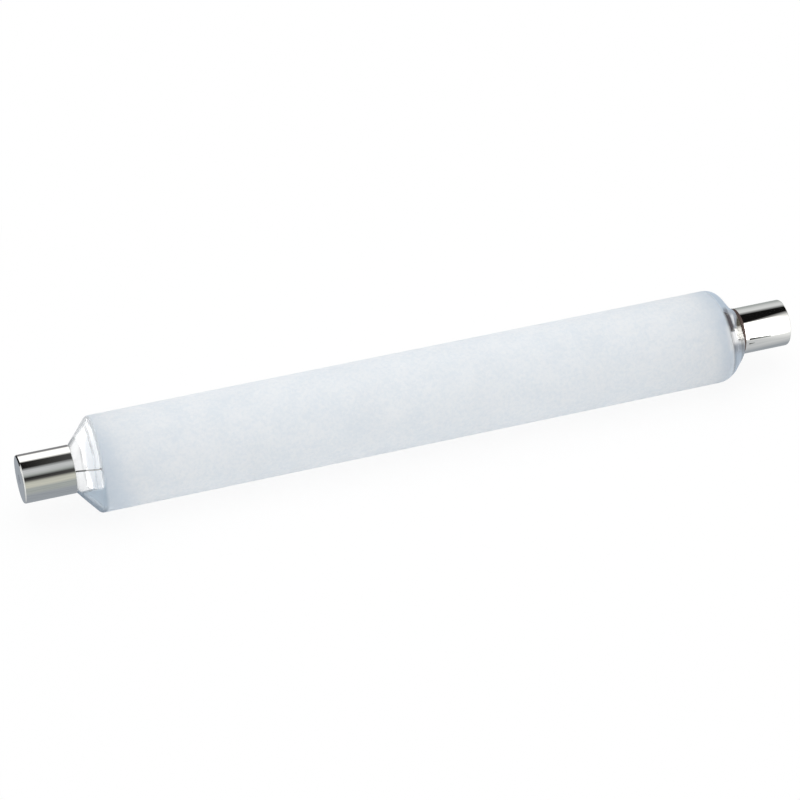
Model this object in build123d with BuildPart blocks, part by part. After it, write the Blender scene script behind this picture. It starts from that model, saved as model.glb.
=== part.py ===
from build123d import *
import os
from math import atan2, cos, radians, sin, tan

# Double-ended tubular lamp, in millimetres. X runs along the lamp from the left cap to the right cap,
# Z is up, and the origin is the middle of the lamp, on its axis.

# Driving dimensions: overall form
overall_length = 311.0  # over the solder contacts of the two caps
tube_diameter = 37.0  # outside of the glass tube
glass_wall = 0.9  # blown glass, the same all over
left_cone_length = 8.3  # cap rim to the corner of the straight clear cone
left_shoulder_radius = 2.2
right_cone_length = 7.9  # cap rim to the corner that the right shoulder rounds off
right_shoulder_radius = 7.2

# Driving dimensions: caps and what fixes them
cap_diameter = 18.5
cap_length = 20.0  # rim to flat end face
cap_wall = 0.35
cap_edge_radius = 0.8
contact_hole_diameter = 2.0  # in the middle of the cap's end, for the lead wire
solder_diameter = 4.2
solder_height = 0.3
solder_cover = 0.3  # solder over the tip of the lead wire
neck_length = 12.5  # how far the glass neck reaches into the cap
cement_thickness = 0.5  # between the glass neck and the bore of the cap
cement_length = 9.0
rim_clearance = 0.1  # glass to the inner edge of the cap's rim

# Driving dimensions: stems
stem_tube_diameter = 10.0
stem_wall = 0.8
seal_length = 1.2  # where the flare is fused to the bore of the neck
flare_length = 4.0
flare_bend_radius = 1.5
stem_tube_length = 2.0
pinch_length = 4.0
pinch_width = 7.0
pinch_thickness = 2.4
pinch_edge_radius = 0.8
exhaust_diameter = 3.0
exhaust_wall = 0.6
exhaust_tip_radius = 1.2
exhaust_tip_thickness = 1.5
exhaust_side_clearance = 0.3  # to the bore of the stem
exhaust_end_clearance = 4.0  # to the inside of the cap's end

# Driving dimensions: wires
lead_diameter = 0.6
lead_bend_radius = 1.5
lead_exit = 1.0  # straight lead past the pinch
lead_entry = 1.5  # straight lead before the crimp
lead_reach = 24.0  # pinch to the end of the filament
left_lead_offset = 1.5  # from the axis, in the pinch
left_lead_run = 13.0  # from the pinch to the bend of the loose left lead
left_lead_bend_y = -2.6  # the bend lies in front of the axis and below it
left_lead_bend_z = -1.1
right_lead_offset = 2.2  # from the axis, where it passes the exhaust tube
lead_run_in = 2.0  # straight lead inside the end of the cap
crimp_diameter = 1.4
crimp_length = 2.5
filament_diameter = 0.8  # outside of the coil
support_count = 4
support_wire_diameter = 0.4
support_gap = 60.0  # degrees, opening of the spring ring
support_turn = 90.0  # degrees, from one support to the next
support_clearance = 0.1  # spring ring to the bore of the tube
hook_clearance = 0.05  # hook to the filament

# Radii
tube_radius = tube_diameter / 2
cap_radius = cap_diameter / 2
cap_bore_radius = cap_radius - cap_wall
neck_radius = cap_bore_radius - cement_thickness
neck_bore_radius = neck_radius - glass_wall
rim_radius = cap_bore_radius - rim_clearance
contact_hole_radius = contact_hole_diameter / 2
stem_radius = stem_tube_diameter / 2
exhaust_radius = exhaust_diameter / 2
exhaust_bore_radius = exhaust_radius - exhaust_wall
support_wire_radius = support_wire_diameter / 2
support_ring_radius = tube_radius - glass_wall - support_clearance - support_wire_radius
hook_radius = filament_diameter / 2 + hook_clearance + support_wire_radius

# Distances from the middle of the lamp, the same at both ends
end_face = overall_length / 2 - solder_height
cap_inside = end_face - cap_wall
cap_rim = end_face - cap_length
neck_end = cap_rim + neck_length
stem_shoulder = neck_end - flare_length - stem_tube_length
stem_floor = stem_shoulder + stem_wall
pinch_end = stem_shoulder - pinch_length
filament_end = pinch_end - lead_reach
crimp_end = filament_end + crimp_length
lead_tip = end_face + solder_height - solder_cover
exhaust_offset = stem_radius - stem_wall - exhaust_side_clearance - exhaust_radius
exhaust_length = cap_inside - exhaust_end_clearance - stem_floor


def neck_hollow(cone_length):
    # The hollow is tangent to the cone at the cap's rim and to the neck inside the cap.
    angle = atan2(tube_radius - rim_radius, cone_length)
    radius = (rim_radius - neck_radius) / (1 - cos(angle))
    corner = cap_rim + radius * tan(angle / 2) * cos(angle)
    return corner, radius


def axis_side(side):
    # The side of a line drawn outwards along the lamp that faces the axis.
    return Side.RIGHT if side > 0 else Side.LEFT


# Glass envelope: one blown wall, from the end of the left neck to the end of the right neck
left_neck_corner, left_hollow_radius = neck_hollow(left_cone_length)
right_neck_corner, right_hollow_radius = neck_hollow(right_cone_length)

with BuildPart() as glass_envelope:
    with BuildSketch():
        with BuildLine():
            FilletPolyline(
                (-neck_end, neck_radius),
                (-left_neck_corner, neck_radius),
                (left_cone_length - cap_rim, tube_radius),
                (cap_rim - right_cone_length, tube_radius),
                (right_neck_corner, neck_radius),
                (neck_end, neck_radius),
                radius=(left_hollow_radius, left_shoulder_radius, right_shoulder_radius, right_hollow_radius),
            )
            offset(amount=glass_wall, side=Side.RIGHT)
        make_face()
    revolve(axis=Axis.X)


# Caps: a drawn cup with a hole for the contact
def drawn_cap(side):
    with BuildPart() as cap:
        with BuildSketch():
            with BuildLine():
                FilletPolyline(
                    (side * cap_rim, cap_radius),
                    (side * end_face, cap_radius),
                    (side * end_face, contact_hole_radius),
                    radius=cap_edge_radius,
                )
                offset(amount=cap_wall, side=axis_side(side))
            make_face()
        revolve(axis=Axis.X)
    return cap


left_cap = drawn_cap(-1)
right_cap = drawn_cap(1)


# Cement: fills the space between the neck and the cap, from the rim inwards
def cement_ring(side):
    with BuildPart() as cement:
        with BuildSketch(Plane.YZ.offset(side * cap_rim)):
            Circle(cap_bore_radius)
            Circle(neck_radius - glass_wall / 2, mode=Mode.SUBTRACT)
        extrude(amount=side * cement_length)
        add(glass_envelope.part, mode=Mode.SUBTRACT)
    return cement


left_cement = cement_ring(-1)
right_cement = cement_ring(1)


# Lead wires: a bent wire from the contact to the filament, with a crimp at its inner end
def lead_wire(side, route_points):
    with BuildPart() as lead:
        with BuildLine() as route:
            FilletPolyline(*route_points, radius=lead_bend_radius)
        with BuildSketch(Plane(origin=route.line @ 0, z_dir=route.line % 0)):
            Circle(lead_diameter / 2)
        sweep()
        with BuildSketch(Plane.YZ.offset(side * filament_end)):
            Circle(crimp_diameter / 2)
        extrude(amount=side * crimp_length)
    return lead


left_lead_wire = lead_wire(
    -1,
    (
        (-lead_tip, 0, 0),
        (lead_run_in - cap_inside, 0, 0),
        (-neck_end, -left_lead_offset, 0),
        (lead_exit - pinch_end, -left_lead_offset, 0),
        (lead_exit + left_lead_run - pinch_end, left_lead_bend_y, left_lead_bend_z),
        (-(crimp_end + lead_entry), 0, 0),
        (-(filament_end + crimp_length / 2), 0, 0),
    ),
)
right_lead_wire = lead_wire(
    1,
    (
        (lead_tip, 0, 0),
        (cap_inside - lead_run_in, 0, 0),
        (neck_end, -right_lead_offset, 0),
        (pinch_end - lead_exit, -right_lead_offset, 0),
        (crimp_end + lead_entry, 0, 0),
        (filament_end + crimp_length / 2, 0, 0),
    ),
)


# Stems: a flare fused into the neck, a short tube and a flat pinch around the lead
def stem_glass(side):
    with BuildPart() as stem:
        with BuildSketch():
            with BuildLine():
                FilletPolyline(
                    (side * stem_shoulder, stem_radius),
                    (side * (neck_end - flare_length), stem_radius),
                    (side * (neck_end - seal_length), neck_bore_radius),
                    (side * neck_end, neck_bore_radius),
                    radius=flare_bend_radius,
                )
                offset(amount=stem_wall, side=axis_side(side))
            make_face()
        revolve(axis=Axis.X)
        with BuildSketch(Plane.YZ.offset(side * stem_shoulder)):
            Circle(stem_radius)
        extrude(amount=side * stem_wall)
        with BuildSketch(Plane.YZ.offset(side * stem_shoulder)):
            RectangleRounded(pinch_width, pinch_thickness, pinch_edge_radius)
        extrude(amount=-side * pinch_length)
    return stem.part


with BuildPart() as left_stem:
    add(stem_glass(-1))
    add(left_lead_wire.part, mode=Mode.SUBTRACT)

with BuildPart() as right_stem:
    add(stem_glass(1))
    add(right_lead_wire.part, mode=Mode.SUBTRACT)
    with BuildSketch(Plane.YZ.offset(stem_shoulder)):
        with Locations((0, exhaust_offset)):
            Circle(exhaust_bore_radius)
    extrude(amount=stem_wall, mode=Mode.SUBTRACT)

# Exhaust tube: stands on the floor of the right stem, sealed off at its tip
with BuildPart() as exhaust_tube:
    with BuildSketch(Plane.YZ.offset(stem_floor)):
        with Locations((0, exhaust_offset)):
            Circle(exhaust_radius)
    extrude(amount=exhaust_length)
    fillet(exhaust_tube.edges().sort_by(Axis.X)[-1], radius=exhaust_tip_radius)
    with BuildSketch(Plane.YZ.offset(stem_floor)):
        with Locations((0, exhaust_offset)):
            Circle(exhaust_bore_radius)
    extrude(amount=exhaust_length - exhaust_tip_thickness, mode=Mode.SUBTRACT)


# Solder contacts: a low dome that fills the cap's hole around the tip of the lead
def solder_contact(side, lead):
    with BuildPart() as solder:
        with BuildSketch():
            with BuildLine():
                dome_top = (side * (end_face + solder_height), 0)
                dome = TangentArc(dome_top, (side * end_face, solder_diameter / 2), tangent=(0, 1))
                Polyline(
                    dome @ 1,
                    (side * end_face, contact_hole_radius),
                    (side * cap_inside, contact_hole_radius),
                    (side * cap_inside, 0),
                    dome_top,
                )
            make_face()
        revolve(axis=Axis.X)
        add(lead.part, mode=Mode.SUBTRACT)
    return solder


left_solder = solder_contact(-1, left_lead_wire)
right_solder = solder_contact(1, right_lead_wire)

# Filament: the outer form of the coil, from crimp to crimp
with BuildPart() as filament:
    with BuildSketch(Plane.YZ.offset(-filament_end)):
        Circle(filament_diameter / 2)
    extrude(amount=2 * filament_end)


# Filament supports: a spring ring in the tube, with an arm that ends in a hook round the filament
def filament_support(place, turn):
    across = Plane(origin=(place, 0, 0), x_dir=(0, cos(turn), sin(turn)), z_dir=(1, 0, 0))
    with BuildPart() as support:
        with BuildLine(across) as route:
            CenterArc((0, 0), support_ring_radius, support_gap, 360 - support_gap)
            CenterArc((support_ring_radius - hook_radius, 0), hook_radius, 0, 90)
            Line((support_ring_radius - hook_radius, hook_radius), (0, hook_radius))
            CenterArc((0, 0), hook_radius, 90, 270)
        with BuildSketch(Plane(origin=route.line @ 0, z_dir=route.line % 0)):
            Circle(support_wire_radius)
        sweep()
    return support


pieces = {
    "glass_envelope": glass_envelope,
    "left_cap": left_cap,
    "right_cap": right_cap,
    "left_cement": left_cement,
    "right_cement": right_cement,
    "left_lead_wire": left_lead_wire,
    "right_lead_wire": right_lead_wire,
    "left_stem": left_stem,
    "right_stem": right_stem,
    "exhaust_tube": exhaust_tube,
    "left_solder": left_solder,
    "right_solder": right_solder,
    "filament": filament,
}

support_pitch = 2 * filament_end / (support_count + 1)
for number in range(1, support_count + 1):
    place = number * support_pitch - filament_end
    pieces[f"filament_support_{number}"] = filament_support(place, radians(number * support_turn))

os.makedirs("parts", exist_ok=True)
for name, piece in pieces.items():
    piece.part.label = name
    export_step(piece.part, f"parts/{name}.step")
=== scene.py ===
import math

import bmesh
import bpy
from mathutils import Matrix, Vector


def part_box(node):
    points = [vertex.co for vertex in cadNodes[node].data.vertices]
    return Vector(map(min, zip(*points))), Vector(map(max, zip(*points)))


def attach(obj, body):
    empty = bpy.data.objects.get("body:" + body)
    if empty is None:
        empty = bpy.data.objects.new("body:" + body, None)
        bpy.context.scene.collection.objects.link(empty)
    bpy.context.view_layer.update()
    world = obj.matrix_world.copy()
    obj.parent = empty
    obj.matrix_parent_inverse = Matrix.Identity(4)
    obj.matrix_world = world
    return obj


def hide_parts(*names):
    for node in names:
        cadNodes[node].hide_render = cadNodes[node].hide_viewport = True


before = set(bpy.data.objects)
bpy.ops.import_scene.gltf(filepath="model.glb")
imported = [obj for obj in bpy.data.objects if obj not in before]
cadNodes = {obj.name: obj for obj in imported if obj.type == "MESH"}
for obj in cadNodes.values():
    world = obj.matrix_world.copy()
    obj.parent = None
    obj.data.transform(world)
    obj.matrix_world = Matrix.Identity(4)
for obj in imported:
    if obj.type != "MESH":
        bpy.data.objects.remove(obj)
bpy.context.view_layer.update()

scene = bpy.context.scene
scene.view_settings.view_transform = "Standard"
mm = 0.001  # Blender works in metres

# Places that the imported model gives
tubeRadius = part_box("glass_envelope")[1].z
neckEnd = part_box("glass_envelope")[1].x
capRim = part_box("right_cap")[0].x
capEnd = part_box("right_cap")[1].x
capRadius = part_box("right_cap")[1].z
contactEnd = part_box("right_solder")[1].x
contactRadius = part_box("right_solder")[1].z
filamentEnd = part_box("filament")[1].x
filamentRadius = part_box("filament")[1].z
print("frame: tube radius %.2f mm, cap radius %.2f mm" % (tubeRadius / mm, capRadius / mm))


# Wiring of materials

class Wire:  # one socket, with Python maths on it
    def __init__(self, finish, socket):
        self.finish = finish
        self.socket = socket

    def maths(self, operation, first, second):
        return self.finish.node("ShaderNodeMath", {"operation": operation}, {0: first, 1: second})

    def __add__(self, other):
        return self.maths("ADD", self, other)

    def __radd__(self, other):
        return self.maths("ADD", other, self)

    def __sub__(self, other):
        return self.maths("SUBTRACT", self, other)

    def __rsub__(self, other):
        return self.maths("SUBTRACT", other, self)

    def __mul__(self, other):
        return self.maths("MULTIPLY", self, other)

    def __rmul__(self, other):
        return self.maths("MULTIPLY", other, self)


class Finish:  # the nodes of one material, or of the world
    def __init__(self, owner):
        owner.use_nodes = True
        self.owner = owner
        self.tree = owner.node_tree
        self.tree.nodes.clear()

    def node(self, kind, settings, sockets, output=0):
        made = self.tree.nodes.new(kind)
        for name, setting in settings.items():
            setattr(made, name, setting)
        for key, value in sockets.items():
            if isinstance(value, Wire):
                self.tree.links.new(value.socket, made.inputs[key])
            else:
                made.inputs[key].default_value = value
        return Wire(self, made.outputs[output]) if made.outputs else None

    def place(self):  # where a point of the surface is, in metres
        return self.node("ShaderNodeTexCoord", {}, {}, "Object")

    def axis(self, vector, name):
        return self.node("ShaderNodeSeparateXYZ", {}, {"Vector": vector}, name)

    def stretch(self, vector, scale):
        return self.node("ShaderNodeVectorMath", {"operation": "MULTIPLY"}, {0: vector, 1: scale})

    def noise(self, vector, size, detail=2.0, roughness=0.5):  # size of a patch, in metres
        sockets = {"Vector": vector, "Scale": 1 / size, "Detail": detail, "Roughness": roughness}
        return self.node("ShaderNodeTexNoise", {}, sockets, "Fac")

    def step(self, value, low, high, lowValue=0.0, highValue=1.0):  # a soft step from low to high
        sockets = {"Value": value, "From Min": low, "From Max": high}
        sockets.update({"To Min": lowValue, "To Max": highValue})
        return self.node("ShaderNodeMapRange", {"interpolation_type": "SMOOTHSTEP"}, sockets)

    def fall(self, value, low, high):  # the same step, from 1 down to 0
        return self.step(value, low, high, 1.0, 0.0)

    def blend(self, share, first, second):  # of two colours
        return self.node("ShaderNodeMix", {"data_type": "RGBA"}, {0: share, 6: first, 7: second}, 2)

    def bump(self, height, strength, distance, finer=None):  # on top of a finer bump, if there is one
        sockets = {"Height": height, "Strength": strength, "Distance": distance}
        if finer:
            sockets["Normal"] = finer
        return self.node("ShaderNodeBump", {}, sockets)

    def principled(self, sockets):
        return self.node("ShaderNodeBsdfPrincipled", {}, sockets)

    def mix(self, share, first, second):  # of two shaders
        return self.node("ShaderNodeMixShader", {}, {0: share, 1: first, 2: second})

    def lightPath(self, output):
        return self.node("ShaderNodeLightPath", {}, {}, output)

    def surface(self, shader, kind="ShaderNodeOutputMaterial"):
        self.node(kind, {}, {"Surface": shader})
        return self.owner


def newFinish(name):
    return Finish(bpy.data.materials.new(name))


def tone(red, green, blue):
    return (red, green, blue, 1.0)


def lengths(*values):  # given in millimetres
    return tuple(value * mm for value in values)


# Meshes

mergeDistance = 0.0005 * mm
sharpDegrees = 40.0


def roundedPath(corners, radii, stepDegrees):
    # Points along a line with rounded corners, each with the direction to its left
    corners = [Vector(corner) for corner in corners]
    headings = [(b - a).normalized() for a, b in zip(corners, corners[1:])]
    quarterTurn = Matrix.Rotation(math.pi / 2, 2)
    path = [(corners[0], quarterTurn @ headings[0])]
    for corner, radius, before, after in zip(corners[1:], radii, headings, headings[1:]):
        turn = math.atan2(before.cross(after), before.dot(after))
        side = math.copysign(radius, turn)
        start = corner - before * radius * math.tan(abs(turn) / 2)
        centre = start + quarterTurn @ before * side
        steps = max(2, math.ceil(math.degrees(abs(turn)) / stepDegrees))
        for number in range(steps + 1):
            left = Matrix.Rotation(turn * number / steps + math.pi / 2, 2) @ before
            path.append((centre - left * side, left))
    path.append((corners[-1], quarterTurn @ headings[-1]))
    return path


def refined(path, spacing):  # with more points where the radius changes
    fine = [path[0]]
    for (start, startLeft), (end, endLeft) in zip(path, path[1:]):
        steps = max(1, math.ceil(abs(end.y - start.y) / spacing))
        for number in range(1, steps + 1):
            share = number / steps
            fine.append((start.lerp(end, share), startLeft.lerp(endLeft, share).normalized()))
    return fine


def lathe(outline, sides, wearing=None, shift=None):
    # Turns a closed outline of (x, radius) about the lamp's axis
    # wearing gives each edge a material number, and shift moves a point along the axis and outwards
    mesh = bmesh.new()
    rings = []
    for x, radius in outline:
        ring = []
        for number in range(sides):
            a = 2 * math.pi * number / sides
            along, outwards = shift(x, radius, a) if shift else (0.0, 0.0)
            r = radius + outwards
            ring.append(mesh.verts.new((x + along, r * math.cos(a), r * math.sin(a))))
        rings.append(ring)
    for number, ring in enumerate(rings):
        following = rings[(number + 1) % len(rings)]
        for k in range(sides):
            m = (k + 1) % sides
            face = mesh.faces.new((ring[k], ring[m], following[m], following[k]))
            face.material_index = wearing[number] if wearing else 0
    return mesh


def tubeAlong(points, radius, sides):
    # A round wire through the points, closed at both ends
    mesh = bmesh.new()
    rings = []
    across = None
    for number, point in enumerate(points):
        ahead = points[min(number + 1, len(points) - 1)] - points[max(number - 1, 0)]
        ahead.normalize()
        across = ahead.orthogonal() if across is None else (across - ahead * across.dot(ahead))
        across.normalize()
        up = ahead.cross(across)
        angles = [2 * math.pi * k / sides for k in range(sides)]
        ring = [point + (across * math.cos(a) + up * math.sin(a)) * radius for a in angles]
        rings.append([mesh.verts.new(corner) for corner in ring])
    for ring, following in zip(rings, rings[1:]):
        for k in range(sides):
            m = (k + 1) % sides
            mesh.faces.new((ring[k], ring[m], following[m], following[k]))
    mesh.faces.new(rings[0])
    mesh.faces.new(rings[-1])
    return mesh


def addPiece(name, mesh, materials, replaced=None):
    bmesh.ops.remove_doubles(mesh, verts=mesh.verts, dist=mergeDistance)
    bmesh.ops.recalc_face_normals(mesh, faces=mesh.faces)
    data = bpy.data.meshes.new(name)
    mesh.to_mesh(data)
    mesh.free()
    data.shade_smooth()
    data.set_sharp_from_angle(angle=math.radians(sharpDegrees))
    for material in materials:
        data.materials.append(material)
    piece = bpy.data.objects.new(name, data)
    scene.collection.objects.link(piece)
    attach(piece, "root")
    if replaced:
        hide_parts(replaced)
    print("piece %s: %d faces" % (name, len(data.polygons)))


def dress(nodeName, material):  # a better finish on a CAD node that stays
    for place in cadNodes[nodeName].material_slots:
        place.material = material


# Camera

camera = {
    "azimuth": -18.489,  # degrees, as the photo was taken
    "elevation": 38.109,
    "distance": 1104.1 * mm,
    "focalPixels": 2860.8,
    "imagePixels": 800,
    "sensorWidth": 36.0,
    "slideRight": -5.4 * mm,  # the lamp isn't quite in the middle of the picture
    "slideUp": -0.7 * mm,
}


def makeCamera(c):
    a = math.radians(c["azimuth"])
    e = math.radians(c["elevation"])
    back = Vector((math.sin(a) * math.cos(e), -math.cos(a) * math.cos(e), math.sin(e)))
    right = Vector((math.cos(a), math.sin(a), 0))
    up = back.cross(right)
    data = bpy.data.cameras.new("photoCamera")
    data.sensor_width = c["sensorWidth"]
    data.lens = c["focalPixels"] * c["sensorWidth"] / c["imagePixels"]
    eye = bpy.data.objects.new("photoCamera", data)
    eye.location = right * c["slideRight"] + up * c["slideUp"] + back * c["distance"]
    eye.rotation_mode = "QUATERNION"
    eye.rotation_quaternion = (-back).to_track_quat("-Z", "Y")
    scene.collection.objects.link(eye)
    scene.camera = eye
    print("camera: lens %.1f mm" % data.lens)


makeCamera(camera)


# Glass envelope: one blown wall, frosted along the tube and clear at its ends

envelope = {
    "wall": 0.9 * mm,
    "leftCone": 8.3 * mm,  # cap rim to the corner
    "leftShoulder": 2.2 * mm,
    "rightCone": 7.9 * mm,
    "rightShoulder": 7.2 * mm,
    "rimInset": 0.45 * mm,  # glass under the cap's outside, at its rim
    "neckInset": 0.85 * mm,
    "sides": 240,
    "arcStep": 3.0,  # degrees
    "coneStep": 0.5 * mm,
    # Neither shoulder is quite square to the tube: at each radius, how much nearer to the lamp's middle
    "leftLean": [lengths(8.8, 0), lengths(13.8, 0.35), lengths(18.5, 0.46)],
    "rightLean": [
        lengths(8.8, 0),
        lengths(10.2, 0.8),
        lengths(11.2, 1.25),
        lengths(12.6, 1.2),
        lengths(14.2, 0.85),
        lengths(16, 0.6),
        lengths(17.6, 0.15),
        lengths(18.5, 0),
    ],
    "leanTowards": 50,  # degrees round the axis; the far side is as much further out
    "clear": tone(0.998, 0.999, 0.999),
    "index": 1.5,
    "leftFrost": -126.4 * mm,  # where the frost starts and ends
    "rightFrost": 125.8 * mm,
    "leftFrostLean": 0.025,
    "rightFrostLean": 0.08,
    "frostFade": 0.9 * mm,
    "frostWobble": 1.4 * mm,
    "wobblePatch": 14 * mm,
    "footReach": 14 * mm,  # painted shade: the frost runs further over the bottom of the left cone, in a dark blue-grey
    "footHeights": lengths(-10.4, -9.2),
    "footRise": 4 * mm,  # more of it on the tube
    "footRiseOver": lengths(-0.5, 1),
    "footWobble": 0.5,
    "footEnd": lengths(-127, -125),
    "footShadeTone": tone(0.34, 0.45, 0.56),
    "grainPatch": 1.5 * mm,
    "grainDetail": (4.0, 0.75),
    "cloudPatch": 10 * mm,
    "grainShare": 0.7,  # of the speckle; the rest is cloud
    "speckleRange": (0.35, 0.65),
    "deep": tone(0.82, 0.868, 0.915),
    "pale": tone(0.985, 0.993, 0.999),
    "leftThin": 12 * mm,  # the frost thins out towards its ends, partly painted shade
    "rightThin": 10 * mm,
    "floorShadeLean": 0.3,  # painted shade: at the left most of all near the floor
    "thinShare": 0.55,
    "thinAndShadeTone": tone(0.5, 0.62, 0.76),
    "brimHighlightShare": 0.7,  # but a painted highlight keeps its right brim pale, mostly below the middle
    "brimReach": lengths(0.5, 3),
    "brimTop": lengths(1, 4),
    "brimFoot": lengths(-8, -6),
    "grainRange": (0.3, 0.7),
    "roughness": (0.5, 0.62),
    "gloss": 0.35,
    "relief": (0.25, 0.05 * mm),
    "throughTone": tone(0.95, 0.972, 0.99),
    "throughShare": 0.45,  # light that the frost lets through
    "edge": {  # painted shade: clear glass turns a milky grey where it is seen along its wall, darker near the floor
        "range": (0.5, 0.74),
        "later": 0.15,  # at the right
        "laterOver": lengths(50, 200),
        "high": tone(0.43, 0.445, 0.46),  # near the top
        "low": tone(0.27, 0.33, 0.4),  # near the floor
        "heights": lengths(-6, 6),
        "untilRingShade": lengths(-1, 0),
        "roughness": 0.5,
        "gloss": 0.1,
    },
    "line": {  # a faint painted reflection of the far frost edge: a milky line on the left cone, beside the frost
        "from": lengths(-3.1, -2.5),
        "to": lengths(-2.3, -1.7),
        "heights": lengths(2, 6),
        "low": 0.4,
        "share": 0.5,
    },
    "ringShade": {  # painted shade and highlights on the clear glass past the frost at the right, above and below the middle
        "tone": tone(0.4, 0.44, 0.5),
        "far": tone(0.45, 0.53, 0.62),  # away from the middle
        "farFrom": lengths(6, 10),
        "high": 0.5,
        "highFrom": lengths(0.5, 2),
        "highPast": lengths(1.6, 2.4),
        "closer": 2.2 * mm,  # it starts closer to the frost near the top
        "closerFrom": lengths(7, 9),
        "low": 0.65,
        "lowUnder": lengths(-0.5, 1),
        "lowPast": lengths(0, 0.6),
        "full": 0.9,  # near the top and the bottom
        "fullFrom": lengths(7.5, 10),
        "fullUnder": lengths(-9, -7),
        "highlightTop": lengths(-0.2, 0.6),  # painted highlight: white just below the middle
        "highlightFoot": lengths(-6, -3.5),
        "highlightMore": 0.25,
        "windowPast": lengths(2.4, 3.4),  # clear further on, but not at the bottom
        "windowFoot": lengths(-5, -2.5),
        "streakFrom": lengths(2.4, 3.4),  # a painted pale reflection streak above the middle, between the painted shade line and the painted cement shade
        "streakTo": lengths(3.4, 4.2),
        "streakLean": 0.4,
        "streakFoot": lengths(1.5, 3.5),
        "streakTop": lengths(6, 8),
        "streakPale": 0.7,
        "streakMore": 0.35,
    },
    "shadeLine": {  # painted shade: a dark line past the frost, thin and faint below the middle
        "tone": tone(0.05, 0.042, 0.048),
        "from": lengths(0.1, 0.7),
        "to": lengths(1.5, 2.3),
        "middle": lengths(0.2, 2),
        "narrower": lengths(0.9, -0.6),  # below and above the middle
        "low": 0.35,
        "high": 0.95,
        "fadedFrom": lengths(6, 7.5),
        "faded": 0.55,
        "top": lengths(9, 10.8),
    },
    "cementShade": {  # the cement inside the right cap seen through the glass, painted as a brown film: its colour with painted shade, faint below the middle
        "tone": tone(0.09, 0.075, 0.042),
        "from": lengths(4.2, 5.4),
        "lean": 4.2 * mm,  # narrower towards the top
        "leanOver": lengths(2, 8),
        "middle": lengths(-0.6, 1),
        "low": 0.35,
        "high": 0.88,
        "patch": 0.8 * mm,
        "detail": 3.0,
        "patchRange": (0.25, 0.6),
        "thinnest": 0.88,
        "beyondShadeLine": lengths(2.4, 3.6),
        "roughness": 0.1,
    },
}


def neckHollow(e, cone):
    # The hollow is tangent to the cone at the cap's rim and to the neck inside the cap
    rimRadius = capRadius - e["rimInset"]
    neckRadius = capRadius - e["neckInset"]
    angle = math.atan2(tubeRadius - rimRadius, cone)
    radius = (rimRadius - neckRadius) / (1 - math.cos(angle))
    return capRim + radius * math.tan(angle / 2) * math.cos(angle), radius


def shoulderLean(e):  # how far a point of the glass moves along the lamp and outwards, for the lathe
    towards = math.radians(e["leanTowards"])

    def shift(x, radius, a):
        points = e["leftLean"] if x < 0 else e["rightLean"]
        lean = 0.0
        for (low, before), (high, after) in zip(points, points[1:]):
            share = min(1.0, max(0.0, (radius - low) / (high - low)))
            lean += share * (after - before)
        return -math.copysign(lean, x) * math.cos(a - towards), 0.0

    return shift


def frostReach(finish, e):
    # How far a point is inside the frost from its two ends, its height, and its share of the painted
    # shade foot
    place = finish.place()
    wobble = (finish.noise(place, e["wobblePatch"]) - 0.5) * e["frostWobble"]
    x = finish.axis(place, "X") + wobble
    towards = math.radians(e["leanTowards"])
    height = math.cos(towards) * finish.axis(place, "Y") + math.sin(towards) * finish.axis(place, "Z")
    left = x - e["leftFrost"] - e["leftFrostLean"] * height
    rise = finish.step(left, *e["footRiseOver"], 0.0, e["footRise"])
    foot = finish.fall(height - rise + e["footWobble"] * wobble, *e["footHeights"])
    return {
        "left": left,
        "right": e["rightFrost"] - e["rightFrostLean"] * height - x,
        "height": height,
        "foot": foot * finish.fall(x, *e["footEnd"]),
    }


def frostShare(finish, e, reach):
    fade = e["frostFade"]
    left = finish.step(reach["left"] + e["footReach"] * reach["foot"], -fade, fade)
    return left * finish.step(reach["right"], -fade, fade)


def clearGlass(finish, e):
    return finish.principled({
        "Base Color": e["clear"],
        "Roughness": 0.0,
        "IOR": e["index"],
        "Transmission Weight": 1.0,
    })


def edgeShare(finish, edge, reach):  # 1 where the glass is seen along its wall, for the painted edge shade
    facing = finish.node("ShaderNodeLayerWeight", {}, {}, "Facing")
    later = finish.step(reach["right"], *edge["laterOver"], edge["later"], 0.0)
    return finish.step(facing - later, *edge["range"])


# share of the painted reflection line on the left cone
def lineShare(finish, line, reach):
    share = finish.step(reach["left"], *line["from"]) * finish.fall(reach["left"], *line["to"])
    return share * finish.step(reach["height"], *line["heights"], line["low"], 1.0) * line["share"]


def ringShadeOver(finish, h, height, past, lean, pale):  # the colour and share of the painted ring shade and highlights
    # painted highlight just below the middle, and a painted reflection streak above it
    white = finish.step(height, *h["highlightFoot"]) * finish.fall(height, *h["highlightTop"])
    streak = finish.step(past, *h["streakFrom"])
    streak = streak * finish.fall(past - h["streakLean"] * lean, *h["streakTo"])
    streak = streak * finish.step(height, *h["streakFoot"]) * finish.fall(height, *h["streakTop"])
    far = finish.step(height * height, *[limit ** 2 for limit in h["farFrom"]])
    colour = finish.blend(far, h["tone"], h["far"])
    colour = finish.blend(white + h["streakPale"] * streak, colour, pale)
    above = finish.step(height, *h["highFrom"], 0.0, h["high"])
    above = above + finish.step(height, *h["fullFrom"], 0.0, h["full"] - h["high"])
    closer = finish.step(height, *h["closerFrom"], 0.0, h["closer"])
    above = (above + h["streakMore"] * streak) * finish.step(past + closer, *h["highPast"])
    window = finish.step(past, *h["windowPast"]) * finish.step(height, *h["windowFoot"])
    below = finish.step(height, *h["lowUnder"], h["low"], 0.0)
    below = below + finish.step(height, *h["fullUnder"], h["full"] - h["low"], 0.0)
    below = below + h["highlightMore"] * white
    below = below * finish.step(past, *h["lowPast"]) * (1 - window)
    return colour, above + below


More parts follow.
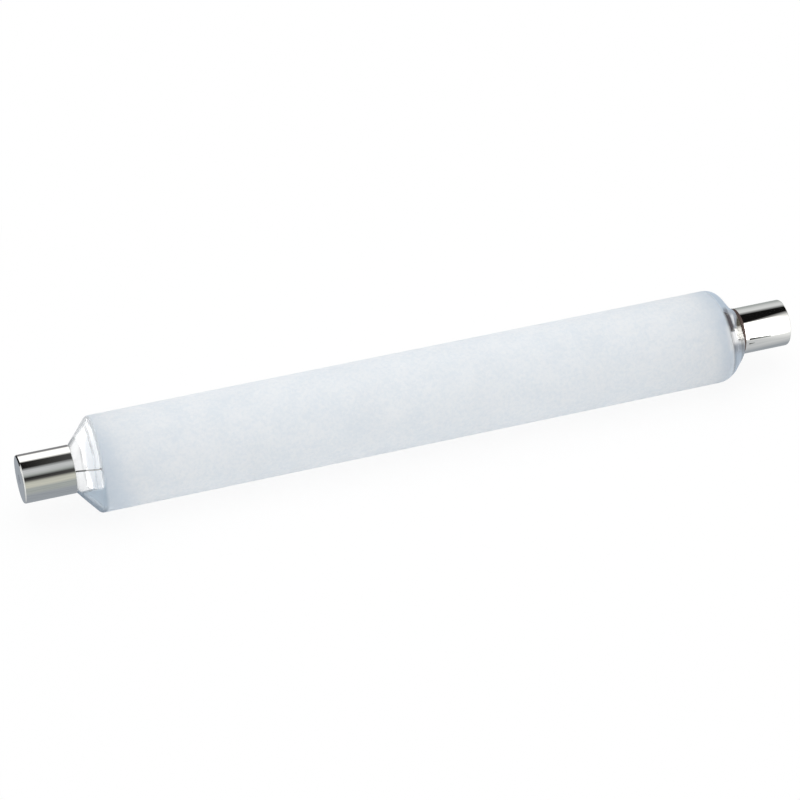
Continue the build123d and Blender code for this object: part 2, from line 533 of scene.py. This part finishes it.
# the painted shade line just past the frost
def shadeLineShare(finish, s, height, past):
    narrower = finish.step(height, *s["middle"], *s["narrower"])
    share = finish.step(past, *s["from"]) * finish.fall(past + narrower, *s["to"])
    share = share * finish.step(height, *s["middle"], s["low"], s["high"])
    share = share * finish.step(height, *s["fadedFrom"], 1.0, s["faded"])
    return share * finish.fall(height, *s["top"])


# the painted cement shade beside the right cap, in patches
def cementShadeShare(finish, f, height, past):
    patches = finish.noise(finish.place(), f["patch"], f["detail"])
    share = finish.step(past, *f["from"]) * finish.step(height, *f["middle"], f["low"], f["high"])
    return share * finish.step(patches, *f["patchRange"], f["thinnest"], 1.0)


def glassWithPaintedShade(finish, e, reach, atEdge):  # clear, with painted shade at its edges, and painted shade and highlights at the right
    edge, ringShade, shadeLine, cementShade = e["edge"], e["ringShade"], e["shadeLine"], e["cementShade"]
    height = reach["height"]
    past = 0 - reach["right"]
    lean = finish.step(height, *cementShade["leanOver"], 0.0, cementShade["lean"])
    # painted shade at the glass's edges: grey near the top, darker near the floor
    milk = finish.blend(finish.step(height, *edge["heights"]), edge["low"], edge["high"])
    paintedRingTone, ringShadeShare = ringShadeOver(finish, ringShade, height, past, lean, e["pale"])
    milky = finish.principled({
        "Base Color": finish.blend(finish.step(past, *edge["untilRingShade"]), milk, paintedRingTone),
        "Roughness": edge["roughness"],
        "Specular IOR Level": edge["gloss"],
    })
    cloudy = atEdge + (1 - atEdge) * (lineShare(finish, e["line"], reach) + ringShadeShare)
    glass = finish.mix(cloudy, clearGlass(finish, e), milky)
    paintedShadeShader = finish.principled({
        "Base Color": finish.blend(finish.step(past, *cementShade["beyondShadeLine"]), shadeLine["tone"], cementShade["tone"]),
        "Roughness": cementShade["roughness"],
    })
    paintedShadeShare = shadeLineShare(finish, shadeLine, height, past) + cementShadeShare(finish, cementShade, height, past - lean)
    return finish.mix(paintedShadeShare, glass, paintedShadeShader)


def frostedFinish(e):
    finish = newFinish("frostedGlass")
    place = finish.place()
    grain = finish.noise(place, e["grainPatch"], *e["grainDetail"])
    cloud = finish.noise(place, e["cloudPatch"])
    speckle = e["grainShare"] * grain + (1 - e["grainShare"]) * cloud
    colour = finish.blend(finish.step(speckle, *e["speckleRange"]), e["deep"], e["pale"])
    reach = frostReach(finish, e)
    # the frost thins at its ends, partly painted shade, and reaches further near the floor as painted
    # shade
    full = finish.step(reach["left"] + e["floorShadeLean"] * reach["height"], 0.0, e["leftThin"])
    full = full * finish.step(reach["right"], 0.0, e["rightThin"])
    colour = finish.blend((1 - full) * e["thinShare"], colour, e["thinAndShadeTone"])
    # painted shade: the foot of the left cone turns dark blue-grey
    colour = finish.blend(reach["foot"], colour, e["footShadeTone"])
    # painted highlight: a pale band at the frost's right brim, mostly below the middle
    paintedBrimHighlight = finish.step(reach["right"], *e["brimReach"], e["brimHighlightShare"], 0.0)
    paintedBrimHighlight = paintedBrimHighlight * finish.fall(reach["height"], *e["brimTop"])
    paintedBrimHighlight = paintedBrimHighlight * finish.step(reach["height"], *e["brimFoot"])
    colour = finish.blend(paintedBrimHighlight, colour, e["pale"])
    relief = finish.bump(grain, *e["relief"])
    matte = finish.principled({
        "Base Color": colour,
        "Roughness": finish.step(grain, *e["grainRange"], *e["roughness"]),
        "Specular IOR Level": e["gloss"],
        "Normal": relief,
    })
    through = finish.node("ShaderNodeBsdfTranslucent", {}, {"Color": e["throughTone"], "Normal": relief})
    frost = finish.mix(e["throughShare"], matte, through)
    # painted edge shade, which also shows over the foot's outline
    atEdge = edgeShare(finish, e["edge"], reach)
    share = frostShare(finish, e, reach) * (1 - atEdge * reach["foot"])
    return finish.surface(finish.mix(share, glassWithPaintedShade(finish, e, reach, atEdge), frost))


def innerWallFinish(e):
    finish = newFinish("innerGlass")
    nothing = finish.node("ShaderNodeBsdfTransparent", {}, {})
    share = frostShare(finish, e, frostReach(finish, e))
    return finish.surface(finish.mix(share, clearGlass(finish, e), nothing))


def makeEnvelope(e):
    leftCorner, leftHollow = neckHollow(e, e["leftCone"])
    rightCorner, rightHollow = neckHollow(e, e["rightCone"])
    neckRadius = capRadius - e["neckInset"]
    corners = [
        (-neckEnd, neckRadius),
        (-leftCorner, neckRadius),
        (e["leftCone"] - capRim, tubeRadius),
        (capRim - e["rightCone"], tubeRadius),
        (rightCorner, neckRadius),
        (neckEnd, neckRadius),
    ]
    radii = (leftHollow, e["leftShoulder"], e["rightShoulder"], rightHollow)
    path = refined(roundedPath(corners, radii, e["arcStep"]), e["coneStep"])
    outside = [point for point, left in path]
    inside = [point - left * e["wall"] for point, left in reversed(path)]
    wearing = [0] * len(outside) + [1] * len(inside)
    mesh = lathe(outside + inside, e["sides"], wearing, shoulderLean(e))
    materials = [frostedFinish(e), innerWallFinish(e)]
    addPiece("glassEnvelope", mesh, materials, "glass_envelope")


makeEnvelope(envelope)


# Caps: drawn cups of thin nickel-plated brass

cap = {
    "wall": 0.35 * mm,
    "edgeRadius": 0.8 * mm,
    "arcStep": 5.0,  # degrees
    "holeRadius": 1.0 * mm,
    "lipSteps": 8,
    "sides": 240,
    "plate": tone(0.82, 0.81, 0.785),
    "dull": tone(0.74, 0.735, 0.715),
    "dullRange": (0.35, 0.7),
    "markPatch": 0.5 * mm,  # drawing marks run along the cap
    "markDetail": (4.0, 0.6),
    "markStretch": 0.04,
    "markRelief": (0.05, 0.02 * mm),
    "markRange": (0.3, 0.75),
    "roughness": (0.03, 0.09),
    "dentPatch": 5 * mm,
    "dentDetail": 1.0,
    "dentStretch": 0.3,
    "dentRelief": (0.25, 0.1 * mm),
}


def nickelFinish(c):
    finish = newFinish("nickelPlate")
    place = finish.place()
    alongMarks = finish.stretch(place, (c["markStretch"], 1, 1))
    marks = finish.noise(alongMarks, c["markPatch"], *c["markDetail"])
    alongDents = finish.stretch(place, (c["dentStretch"], 1, 1))
    dents = finish.noise(alongDents, c["dentPatch"], c["dentDetail"])
    return finish.surface(finish.principled({
        "Base Color": finish.blend(finish.step(marks, *c["dullRange"]), c["plate"], c["dull"]),
        "Metallic": 1.0,
        "Roughness": finish.step(marks, *c["markRange"], *c["roughness"]),
        "Normal": finish.bump(dents, *c["dentRelief"], finish.bump(marks, *c["markRelief"])),
    }))


def makeCap(c, name, side, material, node):
    corners = [(capRim, capRadius), (capEnd, capRadius), (capEnd, c["holeRadius"])]
    path = roundedPath(corners, [c["edgeRadius"]], c["arcStep"])
    outside = [point for point, left in path]
    inside = [point - left * c["wall"] for point, left in path]
    lip = []
    lipCentre = Vector((capRim + c["wall"] / 2, capRadius - c["wall"] / 2))
    for number in range(c["lipSteps"] + 1):
        a = math.pi / 2 + math.pi * (1 - number / c["lipSteps"])
        lip.append(lipCentre + Vector((math.cos(a), math.sin(a))) * c["wall"] / 2)
    outline = lip + outside[1:] + list(reversed(inside[1:]))
    mesh = lathe([(side * x, radius) for x, radius in outline], c["sides"])
    addPiece(name, mesh, [material], node)


nickel = nickelFinish(cap)
makeCap(cap, "leftCap", -1, nickel, "left_cap")
makeCap(cap, "rightCap", 1, nickel, "right_cap")


# Contacts: a drop of solder on each cap's end

contact = {
    "plugRadius": 1.0 * mm,  # solder in the hole of the cap
    "plugDepth": 0.35 * mm,
    "rings": 14,
    "sides": 72,
    "oval": 0.035,  # the drop isn't quite round
    "ovalTurn": 0.8,
    "threeLobes": 0.025,
    "shrink": 0.06,  # keeps the lobes inside the contact's radius
    "domePower": 2.4,
    "tilt": 0.08,
    "bright": tone(0.66, 0.67, 0.69),
    "grey": tone(0.5, 0.51, 0.53),
    "greyRange": (0.35, 0.65),
    "frostPatch": 0.5 * mm,
    "frostDetail": 4.0,
    "frostRange": (0.3, 0.7),
    "roughness": (0.42, 0.6),
    "relief": (0.3, 0.05 * mm),
}


def solderFinish(c):
    finish = newFinish("contactSolder")
    patches = finish.noise(finish.place(), c["frostPatch"], c["frostDetail"])
    return finish.surface(finish.principled({
        "Base Color": finish.blend(finish.step(patches, *c["greyRange"]), c["bright"], c["grey"]),
        "Metallic": 1.0,
        "Roughness": finish.step(patches, *c["frostRange"], *c["roughness"]),
        "Normal": finish.bump(patches, *c["relief"]),
    }))


def makeContact(c, name, side, material, node):
    height = contactEnd - capEnd
    angles = [2 * math.pi * k / c["sides"] for k in range(c["sides"])]
    mesh = bmesh.new()
    rings = []
    for number in range(c["rings"] + 1):
        share = number / c["rings"]
        ring = []
        for a in angles:
            oval = c["oval"] * math.sin(2 * a + c["ovalTurn"])
            lump = 1 + oval + c["threeLobes"] * math.sin(3 * a + side)
            r = contactRadius * share * (lump - c["shrink"] * share)
            rise = height * (1 - share ** c["domePower"]) * (1 - c["tilt"] * share * math.cos(a + side))
            ring.append(mesh.verts.new((side * (capEnd + rise), r * math.cos(a), r * math.sin(a))))
        rings.append(ring)
    for depth in (0.0, c["plugDepth"]):
        r = c["plugRadius"]
        x = side * (capEnd - depth)
        rings.append([mesh.verts.new((x, r * math.cos(a), r * math.sin(a))) for a in angles])
    for ring, following in zip(rings, rings[1:]):
        for k in range(c["sides"]):
            m = (k + 1) % c["sides"]
            mesh.faces.new((ring[k], ring[m], following[m], following[k]))
    mesh.faces.new(rings[-1])
    addPiece(name, mesh, [material], node)


solder = solderFinish(contact)
makeContact(contact, "leftContact", -1, solder, "left_solder")
makeContact(contact, "rightContact", 1, solder, "right_solder")


# Filament: a long helix of tungsten wire

filament = {
    "wireRadius": 0.09 * mm,
    "pitch": 0.38 * mm,
    "stepsPerTurn": 12,
    "sides": 5,
    "tones": (tone(0.2, 0.2, 0.21), tone(0.36, 0.35, 0.36)),
    "patch": 0.8 * mm,
    "roughness": (0.3, 0.5),
    "relief": 0.2,
}

wireGrain = {  # of every wire in the lamp
    "detail": (4.0, 0.6),
    "range": (0.3, 0.7),
    "depth": 0.03 * mm,
}


def wireFinish(name, wire):
    finish = newFinish(name)
    patches = finish.noise(finish.place(), wire["patch"], *wireGrain["detail"])
    return finish.surface(finish.principled({
        "Base Color": finish.blend(finish.step(patches, *wireGrain["range"]), *wire["tones"]),
        "Metallic": 1.0,
        "Roughness": finish.step(patches, *wireGrain["range"], *wire["roughness"]),
        "Normal": finish.bump(patches, wire["relief"], wireGrain["depth"]),
    }))


def makeFilament(f):
    turns = 2 * filamentEnd / f["pitch"]
    count = int(turns * f["stepsPerTurn"])
    radius = filamentRadius - f["wireRadius"]
    reach = filamentEnd - f["wireRadius"]
    points = []
    for number in range(count + 1):
        a = 2 * math.pi * turns * number / count
        x = -reach + 2 * reach * number / count
        points.append(Vector((x, radius * math.cos(a), radius * math.sin(a))))
    mesh = tubeAlong(points, f["wireRadius"], f["sides"])
    addPiece("filamentCoil", mesh, [wireFinish("tungstenCoil", f)], "filament")


makeFilament(filament)


# Wires, glass and cement of the mount, on the CAD nodes themselves, and a bead of cement that also paints
# the shade at the right cap's rim

mount = {
    "lead": {
        "tones": (tone(0.08, 0.075, 0.07), tone(0.22, 0.21, 0.2)),
        "patch": 1.5 * mm,
        "roughness": (0.35, 0.55),
        "relief": 0.25,
    },
    "spring": {
        "tones": (tone(0.8, 0.81, 0.82), tone(0.9, 0.9, 0.9)),
        "patch": 2 * mm,
        "roughness": (0.25, 0.4),
        "relief": 0.2,
    },
    "stem": {
        "clear": tone(0.98, 0.99, 0.988),
        "index": 1.52,
        "patch": 3 * mm,
        "stretch": 0.3,
        "range": (0.3, 0.7),
        "roughness": (0.0, 0.04),
        "relief": (0.3, 0.2 * mm),
    },
    "cement": {
        "tones": (tone(0.36, 0.3, 0.18), tone(0.5, 0.42, 0.27)),
        "patch": 0.35 * mm,
        "detail": (5.0, 0.65),
        "range": (0.3, 0.7),
        "roughness": (0.75, 0.92),
        "gloss": 0.25,
        "poreSize": 0.5,  # of a patch
        "poreRange": (0.55, 0.7),
        "poreDepth": 0.5,
        "relief": (0.5, 0.15 * mm),
    },
    "bead": {  # cement pressed out between the right cap and the glass, near black for the painted shade in the gap at the cap's rim
        "tones": (tone(0.045, 0.03, 0.028), tone(0.1, 0.07, 0.06)),
        "outline": [  # past the rim, and past the cap's radius
            lengths(-1.15, 0.98),
            lengths(-0.03, -0.37),
            lengths(-0.02, 0.02),
            lengths(0.3, 0.02),
            lengths(0.34, 0.1),
            lengths(0.2, 0.24),
            lengths(-0.3, 0.6),
            lengths(-0.85, 1.06),
            lengths(-1.1, 1.12),
        ],
        "flat": 0.8,  # less of it on top
        "sides": 180,
    },
}


def stemFinish(s):
    finish = newFinish("stemGlass")
    swirl = finish.noise(finish.stretch(finish.place(), (s["stretch"], 1, 1)), s["patch"])
    return finish.surface(finish.principled({
        "Base Color": s["clear"],
        "Roughness": finish.step(swirl, *s["range"], *s["roughness"]),
        "IOR": s["index"],
        "Transmission Weight": 1.0,
        "Normal": finish.bump(swirl, *s["relief"]),
    }))


def cementFinish(name, c, tones):
    finish = newFinish(name)
    place = finish.place()
    grains = finish.noise(place, c["patch"], *c["detail"])
    pores = finish.step(finish.noise(place, c["patch"] * c["poreSize"]), *c["poreRange"])
    return finish.surface(finish.principled({
        "Base Color": finish.blend(finish.step(grains, *c["range"]), *tones),
        "Roughness": finish.step(grains, *c["range"], *c["roughness"]),
        "Specular IOR Level": c["gloss"],
        "Normal": finish.bump(grains - c["poreDepth"] * pores, *c["relief"]),
    }))


def dressMount(m):
    lead = wireFinish("leadWire", m["lead"])
    spring = wireFinish("supportSpring", m["spring"])
    glass = stemFinish(m["stem"])
    cement = cementFinish("capCement", m["cement"], m["cement"]["tones"])
    for side in ("left", "right"):
        dress(side + "_lead_wire", lead)
        dress(side + "_stem", glass)
        dress(side + "_cement", cement)
    dress("exhaust_tube", glass)
    for node in cadNodes:
        if node.startswith("filament_support"):
            dress(node, spring)
    print("mount: wires, stems and cement finished")


def makeBead(m):
    bead = m["bead"]
    towards = math.radians(envelope["leanTowards"])

    def shift(x, radius, a):
        flat = bead["flat"] * max(0.0, math.cos(a - towards))
        return 0.0, -flat * max(0.0, radius - capRadius)

    outline = [(capRim + x, capRadius + r) for x, r in bead["outline"]]
    material = cementFinish("pressedCementAndRimShade", m["cement"], bead["tones"])
    addPiece("rightCementBead", lathe(outline, bead["sides"], shift=shift), [material])


dressMount(mount)
makeBead(mount)


# Studio: a pale floor, a soft light from above and a white room

studio = {
    "floorSize": 6.0,
    "floorGap": 0.05 * mm,
    "floorColour": tone(0.93, 0.935, 0.94),
    "whiteShare": 0.9,  # how plain white the floor shows near the lamp; further off it is all white
    "whiteReach": lengths(60, 200),
    "whiteShape": (0.5, 1, 0),  # the part near it is twice as long as wide
    "lightPower": 2.4,
    "lightSize": 0.8,
    "lightPlace": (0.04, 0.05, 0.76),
    "skyLight": 0.84,
    "horizonLight": 0.7,
}


def seenDirectly(finish):
    # 1 for what the camera sees, also in polish and through clear glass, and 0 for scattered light
    seen = finish.lightPath("Is Camera Ray") + finish.lightPath("Is Glossy Ray")
    seen = seen + finish.lightPath("Is Transmission Ray")
    return finish.node("ShaderNodeClamp", {}, {"Value": seen}) * (1 - finish.lightPath("Is Diffuse Ray"))


def makeFloor(s):
    finish = newFinish("paleFloor")
    matte = finish.node("ShaderNodeBsdfDiffuse", {}, {"Color": s["floorColour"]})
    white = finish.node("ShaderNodeEmission", {}, {"Color": tone(1, 1, 1), "Strength": 1.0})
    aside = finish.stretch(finish.place(), s["whiteShape"])
    aside = finish.node("ShaderNodeVectorMath", {"operation": "LENGTH"}, {0: aside}, "Value")
    share = finish.step(aside, *s["whiteReach"], s["whiteShare"], 1.0)
    material = finish.surface(finish.mix(seenDirectly(finish) * share, matte, white))
    material.cycles.emission_sampling = "NONE"
    half = s["floorSize"] / 2
    z = -tubeRadius - s["floorGap"]
    data = bpy.data.meshes.new("floor")
    corners = [(-half, -half, z), (half, -half, z), (half, half, z), (-half, half, z)]
    data.from_pydata(corners, [], [(0, 1, 2, 3)])
    data.materials.append(material)
    floor = bpy.data.objects.new("floor", data)
    scene.collection.objects.link(floor)


def makeLight(s):
    data = bpy.data.lights.new("softLight", "AREA")
    data.energy = s["lightPower"]
    data.size = s["lightSize"]
    light = bpy.data.objects.new("softLight", data)
    light.location = s["lightPlace"]
    light.rotation_mode = "QUATERNION"
    light.rotation_quaternion = (-Vector(s["lightPlace"])).to_track_quat("-Z", "Y")
    light.visible_glossy = False  # polish shows the room instead
    scene.collection.objects.link(light)


def makeRoom(s):
    room = bpy.data.worlds.new("whiteRoom")
    scene.world = room
    finish = Finish(room)
    direction = finish.node("ShaderNodeTexCoord", {}, {}, "Generated")
    rise = finish.axis(direction, "Z")
    light = finish.step(rise, 0.0, 1.0, s["horizonLight"], s["skyLight"])
    seen = seenDirectly(finish)
    strength = seen + (1 - seen) * light
    background = finish.node("ShaderNodeBackground", {}, {"Color": tone(1, 1, 1), "Strength": strength})
    finish.surface(background, "ShaderNodeOutputWorld")


makeFloor(studio)
makeLight(studio)
makeRoom(studio)
print("studio: floor, light and room")


# Reflection cards, seen only in polish and glass: striped tents, dark strips and a bright sweep

cards = {
    "radius": 12.5 * mm,
    "stepDegrees": 6.0,
    "tones": {
        "glare": (6.5, 6.5, 6.5),
        "bright": (5.5, 5.5, 5.4),
        "white": (1.5, 1.5, 1.49),
        "pale": (0.98, 1.0, 1.0),
        "light": (0.78, 0.8, 0.81),
        "silver": (0.62, 0.64, 0.66),
        "steel": (0.43, 0.46, 0.455),
        "slate": (0.37, 0.4, 0.44),
        "sand": (0.65, 0.655, 0.585),
        "olive": (0.2, 0.18, 0.12),
        "iron": (0.25, 0.25, 0.26),
        "char": (0.07, 0.07, 0.07),
        "black": (0.006, 0.006, 0.006),
    },
    # Across a tent: past the cap's rim or end, share of the radius, and which tone of a band
    "leftColumns": [
        ("rim", -1.5 * mm, 1, 2),
        ("rim", 0, 1, 2),
        ("end", 0, 1, 3),
        ("end", 0.2 * mm, 1, 4),
        ("end", 16 * mm, 1, 4),
        ("end", 16.4 * mm, 1, 5),
        ("end", 24 * mm, 1, 5),
        ("end", 24 * mm, 0.02, 5),
    ],
    "rightColumns": [
        ("rim", -1.5 * mm, 1, 2),
        ("rim", 0.5 * mm, 1, 2),
        ("rim", 1 * mm, 1, 3),
        ("end", 0, 1, 4),
        ("end", 8 * mm, 1, 4),
    ],
    # Degrees round the axis at the rim and at the end, then the tones; 90 is up and 180 is the front
    "leftBands": [
        (5, 5, "iron", "iron", "slate", "slate"),
        (30, 30, "iron", "iron", "black", "slate"),
        (46, 46, "iron", "iron", "black", "white"),
        (57, 57, "white", "white", "black", "white"),
        (80, 78, "white", "white", "black", "white"),
        (82, 82, "white", "white", "black", "slate"),
        (91, 89, "char", "black", "black", "slate"),
        (100, 100, "char", "black", "pale", "slate"),
        (109, 110, "char", "black", "pale", "slate"),
        (119, 119, "silver", "silver", "pale", "slate"),
        (127, 127, "silver", "silver", "pale", "slate"),
        (134, 134, "steel", "steel", "pale", "slate"),
        (141, 141, "char", "black", "pale", "slate"),
        (148, 148, "char", "char", "pale", "slate"),
        (157, 157, "sand", "sand", "pale", "slate"),
        (168, 168, "sand", "sand", "pale", "slate"),
        (175, 175, "steel", "steel", "pale", "slate"),
        (188, 188, "steel", "steel", "light", "slate"),
        (200, 200, "slate", "slate", "light", "slate"),
        (235, 235, "slate", "slate", "silver", "slate"),
        (250, 250, "slate", "slate", "slate", "slate"),
        (365, 365, "slate", "slate", "slate", "slate"),
    ],
    "rightBands": [
        (5, 5, "steel", "steel", "steel"),
        (44, 44, "iron", "steel", "steel"),
        (66, 66, "olive", "light", "light"),
        (76, 76, "olive", "light", "light"),
        (89, 89, "olive", "black", "black"),
        (119, 106, "olive", "black", "black"),
        (129, 127, "bright", "bright", "white"),
        (167, 174, "bright", "bright", "white"),
        (173, 179, "white", "pale", "pale"),
        (180, 183, "white", "silver", "pale"),
        (190, 191, "light", "silver", "light"),
        (208, 206, "light", "silver", "silver"),
        (232, 226, "silver", "slate", "slate"),
        (365, 365, "steel", "steel", "steel"),
    ],
    # Thin dark strips before the right tent: past the rim, degrees at both edges, and tone, at either end
    "rightDashes": [
        ((2.5 * mm, 168.8, 175.8, "char"), (12 * mm, 173.3, 178, "steel")),
        ((2.5 * mm, 187, 192, "char"), (5 * mm, 187.5, 191, "steel")),
    ],
    "dashRadius": 12.3 * mm,
    # Along the lamp and up from the floor, round the left of it
    "sweepPath": [lengths(-156, 1), lengths(-420, 6), lengths(-560, 60), lengths(-620, 360)],
    "sweepFront": -160 * mm,
    "sweepBack": 620 * mm,
}


def cardFinish():
    finish = newFinish("reflectionCard")
    colour = finish.node("ShaderNodeAttribute", {"attribute_name": "tone"}, {}, "Color")
    glow = finish.node("ShaderNodeEmission", {}, {"Color": colour, "Strength": 1.0})
    nothing = finish.node("ShaderNodeBsdfTransparent", {}, {})
    outside = finish.node("ShaderNodeNewGeometry", {}, {}, "Backfacing")
    material = finish.surface(finish.mix(outside, glow, nothing))
    material.cycles.emission_sampling = "NONE"
    return material


def addCard(name, rows, flipped, material):
    # A sheet through rows of (point, colour), seen only in reflections and only from its front
    wide = len(rows[0])
    faces = []
    for row in range(len(rows) - 1):
        for k in range(wide - 1):
            corner = row * wide + k
            face = (corner, corner + 1, corner + wide + 1, corner + wide)
            faces.append(tuple(reversed(face)) if flipped else face)
    data = bpy.data.meshes.new(name)
    data.from_pydata([point for row in rows for point, colour in row], [], faces)
    colours = [value for row in rows for point, colour in row for value in (*colour, 1.0)]
    data.color_attributes.new("tone", "FLOAT_COLOR", "POINT").data.foreach_set("color", colours)
    data.materials.append(material)
    card = bpy.data.objects.new(name, data)
    card.visible_camera = False
    card.visible_diffuse = False
    card.visible_transmission = False
    card.visible_shadow = False
    scene.collection.objects.link(card)


def makeTent(c, name, side, material):
    ends = {"rim": capRim, "end": capEnd}
    bands = c[name + "Bands"]
    rows = []
    for first, second in zip(bands, bands[1:]):
        steps = max(1, math.ceil((second[0] - first[0]) / c["stepDegrees"]))
        for number in range(steps + 1):
            share = number / steps
            row = []
            for start, past, width, shade in c[name + "Columns"]:
                x = ends[start] + past
                along = min(1.0, max(0.0, (x - capRim) / (capEnd - capRim)))
                degrees = [band[0] * (1 - along) + band[1] * along for band in (first, second)]
                a = math.radians(degrees[0] * (1 - share) + degrees[1] * share)
                radius = c["radius"] * width
                tones = [Vector(c["tones"][band[shade]]) for band in (first, second)]
                point = (side * x, radius * math.cos(a), radius * math.sin(a))
                row.append((point, tones[0].lerp(tones[1], share)))
            rows.append(row)
    addCard(name + "Tent", rows, side < 0, material)


def makeDashes(c, material):
    r = c["dashRadius"]
    for number, dash in enumerate(c["rightDashes"]):
        rows = []
        for edge in (0, 1):
            row = []
            for past, *degrees, shade in dash:
                a = math.radians(degrees[edge])
                point = (capRim + past, r * math.cos(a), r * math.sin(a))
                row.append((point, Vector(c["tones"][shade])))
            rows.append(row)
        addCard("rightDash%d" % (number + 1), rows, False, material)


def makeSweep(c, material):
    rows = []
    for x, height in c["sweepPath"]:
        edges = [(x, y, height - tubeRadius) for y in (c["sweepFront"], c["sweepBack"])]
        rows.append([(point, c["tones"]["glare"]) for point in edges])
    addCard("leftSweep", rows, False, material)


cardMaterial = cardFinish()
makeTent(cards, "left", -1, cardMaterial)
makeTent(cards, "right", 1, cardMaterial)
makeDashes(cards, cardMaterial)
makeSweep(cards, cardMaterial)
print("studio: reflection cards")
